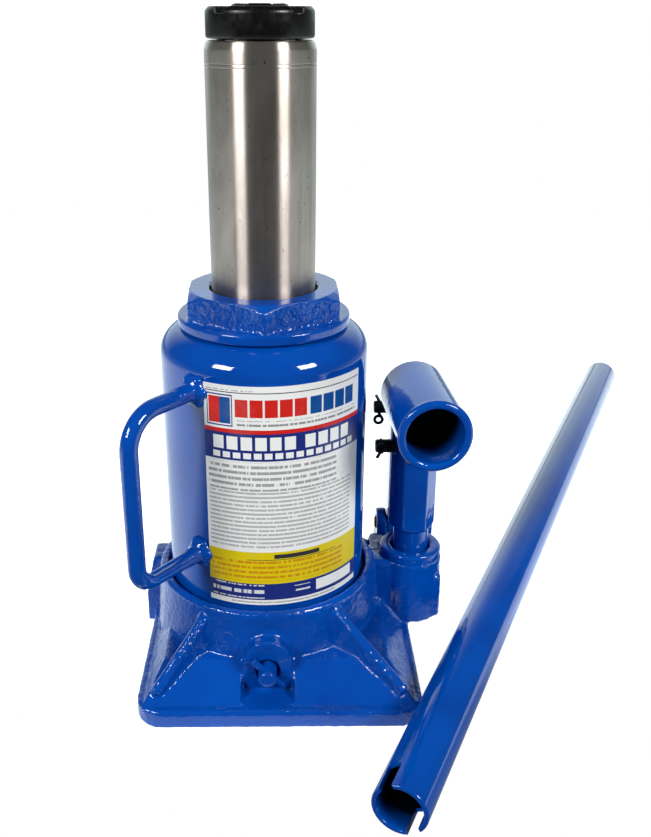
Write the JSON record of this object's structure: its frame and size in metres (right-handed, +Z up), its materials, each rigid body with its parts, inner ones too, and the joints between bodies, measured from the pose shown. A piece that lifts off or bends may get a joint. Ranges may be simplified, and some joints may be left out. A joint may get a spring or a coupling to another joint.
{
  "type": "hydraulic bottle jack",
  "caption": "Hydraulic bottle jack: ribbed cast base, oil tank, steel ram with screw extension, side pump with a pivoting lever socket, carrying handle and loose slotted pump lever.",
  "frame": {"origin": "where the ram's axis meets the ground under the base", "axes": "+Z up along the ram, towards the saddle; the release valve faces -Y; the pump and the lever socket stand on the +X side"},
  "size_m": [0.3307, 0.4734, 0.284],
  "materials": {
    "blue_enamel": "gloss blue enamel over cast iron and steel",
    "ground_steel": "ground bright steel",
    "black_steel": "oil-blackened steel",
    "black_rubber": "matte nitrile rubber",
    "white_ptfe": "smooth white back-up ring",
    "printed_label": "printed film on the tank, plain colour bands"
  },
  "bodies": {
    "jack_body": {"base_casting": "blue_enamel", "reservoir_tank": "blue_enamel", "pressure_cylinder": "ground_steel", "top_cap_nut": "blue_enamel", "cylinder_gasket": "black_rubber", "cylinder_top_seal": "black_rubber", "tank_gasket": "black_rubber", "ram_wiper_seal": "black_rubber", "filler_plug": "black_rubber", "carry_handle": "blue_enamel", "rating_label": "printed_label", "pump_cylinder": "blue_enamel", "pump_seal": "black_rubber", "link_base_pin": "black_steel", "delivery_check_plug": "black_steel", "suction_check_plug": "black_steel", "overload_valve_ball": "ground_steel", "overload_valve_screw": "black_steel", "overload_valve_spring": "ground_steel"},
    "ram": {"ram_tube": "ground_steel", "ram_piston": "ground_steel", "ram_cup_seal": "black_rubber", "ram_backup_ring": "white_ptfe"},
    "screw_carrier": {"screw_stop_ring": "black_steel"},
    "screw": {"extension_screw": "ground_steel", "saddle": "black_steel"},
    "links": {"link_left": "blue_enamel", "link_right": "blue_enamel", "fulcrum_pin": "black_steel", "fulcrum_pin_cotter": "black_steel"},
    "socket": {"handle_socket": "blue_enamel"},
    "plunger": {"pump_plunger": "blue_enamel", "plunger_pin": "black_steel", "plunger_pin_cotter": "black_steel"},
    "valve_carrier": {"release_valve_oring": "black_rubber", "release_valve_ball": "ground_steel"},
    "valve_stem": {"release_valve_stem": "blue_enamel", "release_valve_cross_pin": "blue_enamel"},
    "delivery_ball": {"delivery_check_ball": "ground_steel"},
    "suction_ball": {"suction_check_ball": "ground_steel"},
    "lever": {"pump_lever": "blue_enamel"}
  },
  "joints": [
    {"name": "ram_stroke", "type": "slide", "parent": "jack_body", "child": "ram", "axis": [0, 0, 1], "range_m": [-0.096, 0]},
    {"name": "screw_travel", "type": "slide", "parent": "ram", "child": "screw_carrier", "axis": [0, 0, 1], "range_m": [0, 0.062]},
    {"name": "screw_turn", "type": "hinge", "parent": "screw_carrier", "child": "screw", "pos_m": [0, 0, 0.2718], "axis": [0, 0, 1], "range_deg": [0, 3725]},
    {"name": "link_swing", "type": "hinge", "parent": "jack_body", "child": "links", "pos_m": [0.069, 0.037, 0.04], "axis": [1, 0, 0], "range_deg": [-1.4, 1.1]},
    {"name": "socket_tilt", "type": "hinge", "parent": "links", "child": "socket", "pos_m": [0.069, 0.037, 0.1035], "axis": [1, 0, 0], "range_deg": [-16, 12.5]},
    {"name": "plunger_stroke", "type": "slide", "parent": "jack_body", "child": "plunger", "axis": [0, 0, 1], "range_m": [-0.0071, 0.0091]},
    {"name": "valve_travel", "type": "slide", "parent": "jack_body", "child": "valve_carrier", "axis": [0, -1, 0], "range_m": [0, 0.0025]},
    {"name": "valve_turn", "type": "hinge", "parent": "valve_carrier", "child": "valve_stem", "pos_m": [0.001, -0.057, 0.0183], "axis": [0, -1, 0], "range_deg": [0, 722]},
    {"name": "delivery_ball_lift", "type": "slide", "parent": "jack_body", "child": "delivery_ball", "axis": [0, 0, 1], "range_m": [0, 0.0012]},
    {"name": "suction_ball_lift", "type": "slide", "parent": "jack_body", "child": "suction_ball", "axis": [0, 0, 1], "range_m": [0, 0.0012]},
    {"name": "lever_lift", "type": "slide", "parent": "jack_body", "child": "lever", "axis": [0.5, 0, 0.866], "range_m": [0, 0.25]}
  ],
  "couplings": [
    {"joint": "screw_turn", "follows": "screw_travel", "rad_per_m": 1047.2},
    {"joint": "link_swing", "follows": "socket_tilt", "ratio": 0.08},
    {"joint": "plunger_stroke", "follows": "socket_tilt", "m_per_rad": -0.032076},
    {"joint": "valve_turn", "follows": "valve_travel", "rad_per_m": 5026.5}
  ]
}
